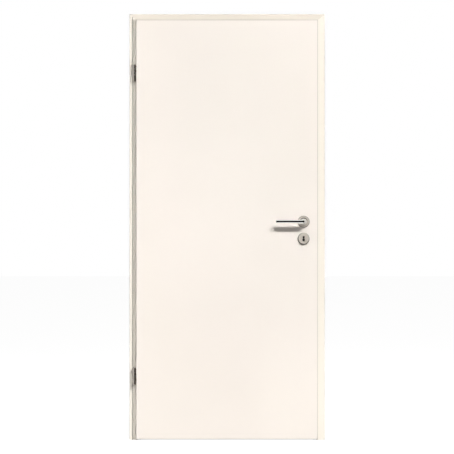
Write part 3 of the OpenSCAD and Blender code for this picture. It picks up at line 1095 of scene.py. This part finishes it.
@dataclass(frozen=True)
class HingeKnuckle:
    """One knuckle of a barrel hinge, with its two fixing pins and, on the frame's, the hinge pin."""

    place: str
    on_leaf: bool
    end_ease: float = 1.6 * MM
    joint_ease: float = 0.5 * MM
    fixing_radius: float = 3 * MM
    fixing_pitch: float = 22 * MM
    pin_radius: float = 4.45 * MM
    pin_ease: float = 0.3 * MM
    gap: float = 0.8 * MM

    def build(self, palette: Palette) -> None:
        """Builds the knuckle as turned forms round the barrel's axis and the fixing pins' axes.

        Formula: the barrel's section is a straight side with a quarter circle at each end.

        Args:
            palette: the finishes.
        """
        side, other = ("leaf", "frame") if self.on_leaf else ("frame", "leaf")
        node = f"hinge_{self.place}_{side}_part"
        low, high = box_of(node)
        other_low, other_high = box_of(f"hinge_{self.place}_{other}_part")
        radius = min(high.x - low.x, other_high.x - other_low.x) / 2
        x = min(low.x, other_low.x) + radius
        y = min(low.y, other_low.y) + radius
        z0, z1 = (low.z, high.z) if self.on_leaf else (low.z, other_low.z - self.gap)
        lower, upper = (self.joint_ease, self.end_ease) if self.on_leaf else (self.end_ease, self.joint_ease)
        h = z1 - z0
        profile = np.vstack([
            arc((radius - lower, lower), lower, -90, 0, 6),
            arc((radius - upper, h - upper), upper, 0, 90, 6),
        ])
        shell = Shell()
        shell.add_tube(turned(profile, Vector((x, y, z0)), Vector((0, 0, 1)), 64))
        way = Vector((1, 0, 0)) if self.on_leaf else Vector((0, 1, 0))
        length = (high.x - x) if self.on_leaf else (high.y - y)
        ease = self.pin_ease
        for s in (-0.5, 0.5):
            start = Vector((x, y, z0 + h / 2 + s * self.fixing_pitch))
            stub = np.vstack([
                [[self.fixing_radius, 0.0]],
                arc((self.fixing_radius - ease, length - ease), ease, 0, 90, 3),
            ])
            shell.add_tube(turned(stub, start, way, 32))
        if not self.on_leaf:
            pin = np.vstack([
                [[self.pin_radius, h / 2]],
                arc((self.pin_radius - ease, high.z - z0 - ease), ease, 0, 90, 3),
            ])
            shell.add_tube(turned(pin, Vector((x, y, z0)), Vector((0, 0, 1)), 48))
        name = f"{self.place}_hinge_{side}_knuckle"
        add_piece(name, shell, side, palette["hinge"], (node,), SMOOTH_TO)


@dataclass(frozen=True)
class Screw:
    """Countersunk screw head with a pressed cross, a hair proud of its plate."""

    name: str
    middle: Vector
    way: Vector
    body: str
    radius: float = 3.8 * MM
    proud: float = 0.3 * MM
    dome: float = 0.22 * MM
    recess: float = 1.4 * MM
    arm_half: float = 0.62 * MM
    arm_reach: float = 0.62
    shank: tuple[float, float, float] = (-0.2 * MM, -1.6 * MM, -2.2 * MM)

    def build(self, palette: Palette) -> None:
        """Builds the head and a short shank below it.

        Formula: over a polar grid the height is the proud height less a dome's fall towards the rim; where
        the distance to either arm of the cross is under its half width, the recess is taken off.

        Args:
            palette: the finishes.
        """
        a = np.array(self.way.normalized())
        side = np.array(self.way.orthogonal().normalized())
        up = np.cross(a, side)
        r = np.concatenate([np.linspace(0.02, 1.0, 26), [1.0, 0.55, 0.5]])[:, None] * self.radius
        t = np.linspace(0, 2 * np.pi, 96, endpoint=False)
        u, v = r * np.cos(t), r * np.sin(t)
        arm = np.clip((self.arm_half - np.minimum(np.abs(u), np.abs(v))) / (0.14 * MM), 0, 1)
        cross = arm * np.clip((self.arm_reach * self.radius - r) / (0.3 * MM), 0, 1)
        height = self.proud - self.dome * (r / self.radius) ** 2 - self.recess * cross
        height[-3:] = np.array(self.shank)[:, None]
        shell = Shell()
        across = u[..., None] * side + v[..., None] * up
        shell.add_tube(np.array(self.middle) + height[..., None] * a + across)
        add_piece(self.name, shell, self.body, palette["screw"], (), 40)


@dataclass(frozen=True)
class LockFurniture:
    """Screws of the lock's faceplate and of the strike plate."""

    inset: float = 12 * MM
    plates: tuple[tuple[str, str, float, str], ...] = (
        ("faceplate", "lock_faceplate", 1.0, "leaf"), ("strike", "strike_plate", -1.0, "frame"),
    )

    def build(self, palette: Palette) -> None:
        """Puts a screw near each end of both plates.

        Args:
            palette: the finishes.
        """
        for word, node, out, body in self.plates:
            low, high = box_of(node)
            x, y = high.x if out > 0 else low.x, (low.y + high.y) / 2
            for end, z in (("upper", high.z - self.inset), ("lower", low.z + self.inset)):
                Screw(f"{word}_{end}_screw", Vector((x, y, z)), Vector((out, 0, 0)), body).build(palette)


@dataclass(frozen=True)
class CadDressing:
    """Finishes of the CAD nodes, by the first pattern that a node's name matches."""

    rules: tuple[tuple[str, str], ...] = (
        ("seal*", "rubber"), ("front_casing_head", "head"), ("front_casing_hinge_side", "hinge_casing"),
        ("lining*", "frame"), ("*_casing_*", "frame"), ("leaf_core", "board"), ("leaf_lock_block", "board"),
        ("leaf*", "leaf"), ("hinge*", "hinge"), ("lock_case", "zinc"), ("lock_follower", "zinc"),
        ("*_bolt", "bolt"), ("*lever", "lever"), ("*rose", "rose"), ("*key_escutcheon", "escutcheon"),
        ("*", "plate"),
    )

    def build(self, palette: Palette) -> None:
        """Gives every CAD node its finish.

        Args:
            palette: the finishes.
        """
        for name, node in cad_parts.items():
            finish = palette[next(word for pattern, word in self.rules if fnmatchcase(name, pattern))]
            if not node.material_slots:
                node.data.materials.append(finish)
            for slot in node.material_slots:
                slot.material = finish


# Studio


@dataclass(frozen=True)
class Lamp:
    """A round lamp that lights an upright plane across Y evenly, near or far."""

    name: str
    place: Place
    radius: float
    level: float
    tint: Colour = (1.0, 0.985, 0.955)
    flattest: float = 0.4
    tilt: float = 0.1

    def build(self) -> None:
        """Hangs the lamp, unseen by mirrors.

        Formula: the strength doesn't fall with distance, and is divided by the Y part of the ray's direction,
        which is the cosine at which the ray meets that plane; upward rays get a little more.
        """
        data = bpy.data.lights.new(self.name, "POINT")
        data.shadow_soft_size = self.radius
        data.energy = 1.0
        data.color = self.tint
        data.use_nodes = True
        tree = data.node_tree
        way = add_node(tree, "SeparateXYZ", {0: add_node(tree, "TexCoord", {}).outputs["Normal"]}).outputs
        flat = math_node(tree, "MAXIMUM", math_node(tree, "ABSOLUTE", way["Y"]), self.flattest)
        tilt = math_node(tree, "ADD", math_node(tree, "MULTIPLY", way["Z"], self.tilt), 1.0)
        share = math_node(tree, "MULTIPLY", math_node(tree, "DIVIDE", self.level, flat), tilt)
        fall = add_node(tree, "LightFalloff", {"Strength": share})
        tree.links.new(fall.outputs["Constant"], tree.nodes["Emission"].inputs["Strength"])
        lamp = bpy.data.objects.new(self.name, data)
        lamp.location = self.place
        lamp.visible_glossy = False
        bpy.context.scene.collection.objects.link(lamp)


@dataclass(frozen=True)
class Studio:
    """Camera, lamps, world, floor and the dark cards that polished metal mirrors."""

    view_width: float = 2.1478
    distance: float = 9.0
    aim: Place = (0.4443, -0.0355, 1.0090)
    sensor: float = 36.0
    lamps: tuple[Lamp, ...] = (
        Lamp("key", (1.2, -1.07, 1.82), 0.09, 20.5),
        Lamp("front", (1.4, -6.1, 5.6), 0.35, 14.2),
        Lamp("back", (-0.9, 3.6, 2.6), 0.9, 20.0, (1.0, 0.99, 0.975)),
        Lamp("left_side", (-4.2, 1.2, 2.4), 0.6, 7.0),
        Lamp("right_side", (5.1, 1.2, 2.4), 0.6, 7.0),
    )
    fill: float = 0.22
    fill_lean: float = 0.6
    floor_half: float = 30.0
    floor_middle: Place = (0.445, 0.06, 0.0)
    card_radius: float = 0.6

    def build(self) -> None:
        """Builds the whole studio."""
        self.camera()
        for lamp in self.lamps:
            lamp.build()
        self.world()
        self.floor()
        self.cards()

    def camera(self) -> None:
        """Makes the level camera in front of the door.

        Formula: the lens is the sensor's width times the distance over the width that the picture spans.
        """
        data = bpy.data.cameras.new("camera")
        data.sensor_width = self.sensor
        data.lens = self.sensor * self.distance / self.view_width
        camera = bpy.data.objects.new("camera", data)
        camera.location = (self.aim[0], self.aim[1] - self.distance, self.aim[2])
        camera.rotation_euler = (math.pi / 2, 0.0, 0.0)
        bpy.context.scene.collection.objects.link(camera)
        bpy.context.scene.camera = camera

    def seen_by(self, tree: Tree, *rays: str) -> Socket:
        """Adds a mask that is 1 for the rays named.

        Args:
            tree: the node tree.
            *rays: kinds of ray.

        Returns:
            The mask.
        """
        path = tree.nodes.new("ShaderNodeLightPath").outputs
        seen = path[f"Is {rays[0]} Ray"]
        for ray in rays[1:]:
            seen = math_node(tree, "MAXIMUM", seen, path[f"Is {ray} Ray"])
        return seen

    def world(self) -> None:
        """Makes the world: white to the camera and in mirrors, else soft light, most of it from the left."""
        world = bpy.data.worlds.new("studio")
        world.use_nodes = True
        tree = world.node_tree
        soft = tree.nodes["Background"]
        soft.inputs["Color"].default_value = (1.0, 0.995, 0.985, 1.0)
        way = add_node(tree, "SeparateXYZ", {0: add_node(tree, "TexCoord", {}).outputs["Generated"]}).outputs
        leftward = math_node(tree, "MULTIPLY", way["X"], -self.fill_lean * self.fill)
        tree.links.new(math_node(tree, "ADD", leftward, self.fill), soft.inputs["Strength"])
        white = add_node(tree, "Background", {"Color": WHITE, "Strength": 1.0})
        seen = self.seen_by(tree, "Camera", "Glossy", "Transmission")
        mix = add_node(tree, "MixShader", {0: seen, 1: soft.outputs[0], 2: white.outputs[0]})
        tree.links.new(mix.outputs[0], tree.nodes["World Output"].inputs["Surface"])
        bpy.context.scene.world = world

    def floor(self) -> None:
        """Makes the pale floor, which keeps the door's shadow near it and fades to white away from it."""
        mesh = bpy.data.meshes.new("floor")
        half = self.floor_half
        corners = [(x * half, y * half, 0) for x, y in ((-1, -1), (1, -1), (1, 1), (-1, 1))]
        mesh.from_pydata(corners, [], [(0, 1, 2, 3)])
        floor = bpy.data.objects.new("floor", mesh)
        bpy.context.scene.collection.objects.link(floor)
        material = bpy.data.materials.new("floor")
        material.use_nodes = True
        tree = material.node_tree
        tree.nodes.remove(tree.nodes["Principled BSDF"])
        seen = self.seen_by(tree, "Camera", "Glossy")
        place = tree.nodes.new("ShaderNodeTexCoord").outputs["Object"]
        away = add_node(tree, "VectorMath", {0: place, 1: self.floor_middle}, operation="DISTANCE")
        whiter = range_node(tree, away.outputs["Value"], 0.35, 2.2, 0.84, 0.96)
        share = math_node(tree, "MULTIPLY", seen, whiter)
        tone = mix_colours(tree, seen, (0.18, 0.178, 0.174), (0.95, 0.95, 0.95))
        plain = add_node(tree, "BsdfDiffuse", {"Color": tone})
        white = add_node(tree, "Emission", {"Color": WHITE, "Strength": 1.0})
        mix = add_node(tree, "MixShader", {0: share, 1: plain.outputs[0], 2: white.outputs[0]})
        tree.links.new(mix.outputs[0], tree.nodes["Material Output"].inputs["Surface"])
        mesh.materials.append(material)

    def cards(self) -> None:
        """Makes the dark cards that give the polished lever its dark line and the hinges their dark side.

        Only mirrors see them: they cast no shadow and take no light from the door.
        """
        material = bpy.data.materials.new("dark_card")
        material.use_nodes = True
        shader = material.node_tree.nodes["Principled BSDF"]
        shader.inputs["Base Color"].default_value = (0.008, 0.006, 0.005, 1.0)
        shader.inputs["Roughness"].default_value = 1.0
        shader.inputs["Specular IOR Level"].default_value = 0.0
        lever = centre_of("front_rose")
        self.curved_card("lever_card", Vector((lever.x, -0.08, lever.z)), (-16, 100), (-0.56, 0.82), material)
        for place in ("upper", "lower"):
            hinge = centre_of(f"hinge_{place}_frame_part")
            x = box_of(f"hinge_{place}_leaf_part")[0].x + 8 * MM
            middle = Vector((x, hinge.y, hinge.z))
            self.curved_card(f"{place}_hinge_card", middle, (4, 84), (-0.3, 0.44), material)

    def curved_card(
        self, name: str, middle: Vector, turn: tuple[float, float], rise: tuple[float, float],
        material: Material,
    ) -> None:
        """Makes one upright curved card.

        Formula: at an angle t right of straight ahead the card stands at the middle plus the radius times
        (sine of t, minus cosine of t).

        Args:
            name: its name.
            middle: the upright axis that it bends round, and the height that its rise starts from.
            turn: first and last angle, in degrees right of straight ahead.
            rise: its lower and upper edge over the middle.
            material: its dark finish.
        """
        t = np.radians(np.linspace(turn[0], turn[1], 25))
        x, y = middle.x + self.card_radius * np.sin(t), middle.y - self.card_radius * np.cos(t)
        rows = [np.stack([x, y, np.full_like(x, middle.z + z)], axis=-1) for z in rise]
        mesh = bpy.data.meshes.new(name)
        mesh.from_pydata(np.concatenate(rows).tolist(), [], grid_faces(2, len(t), False, False).tolist())
        mesh.materials.append(material)
        card = bpy.data.objects.new(name, mesh)
        bpy.context.scene.collection.objects.link(card)
        for seen in ("camera", "diffuse", "shadow", "transmission"):
            setattr(card, f"visible_{seen}", False)


@dataclass(frozen=True)
class InteriorDoor:
    """The whole door, piece by piece."""

    def build(self, palette: Palette) -> None:
        """Dresses the CAD nodes and builds the finer pieces over them.

        Args:
            palette: the finishes.
        """
        CadDressing().build(palette)
        for face in Face:
            for piece in (FlushSkin, Rose, KeyEscutcheon, Lever):
                piece(face).build(palette)
        for place in ("upper", "lower"):
            for on_leaf in (True, False):
                HingeKnuckle(place, on_leaf).build(palette)
        LockFurniture().build(palette)


def main() -> None:
    """Builds the studio and the door."""
    bpy.context.scene.view_settings.view_transform = "Standard"
    Studio().build()
    InteriorDoor().build(make_palette(Groups.build()))


if __name__ == "__main__":
    main()
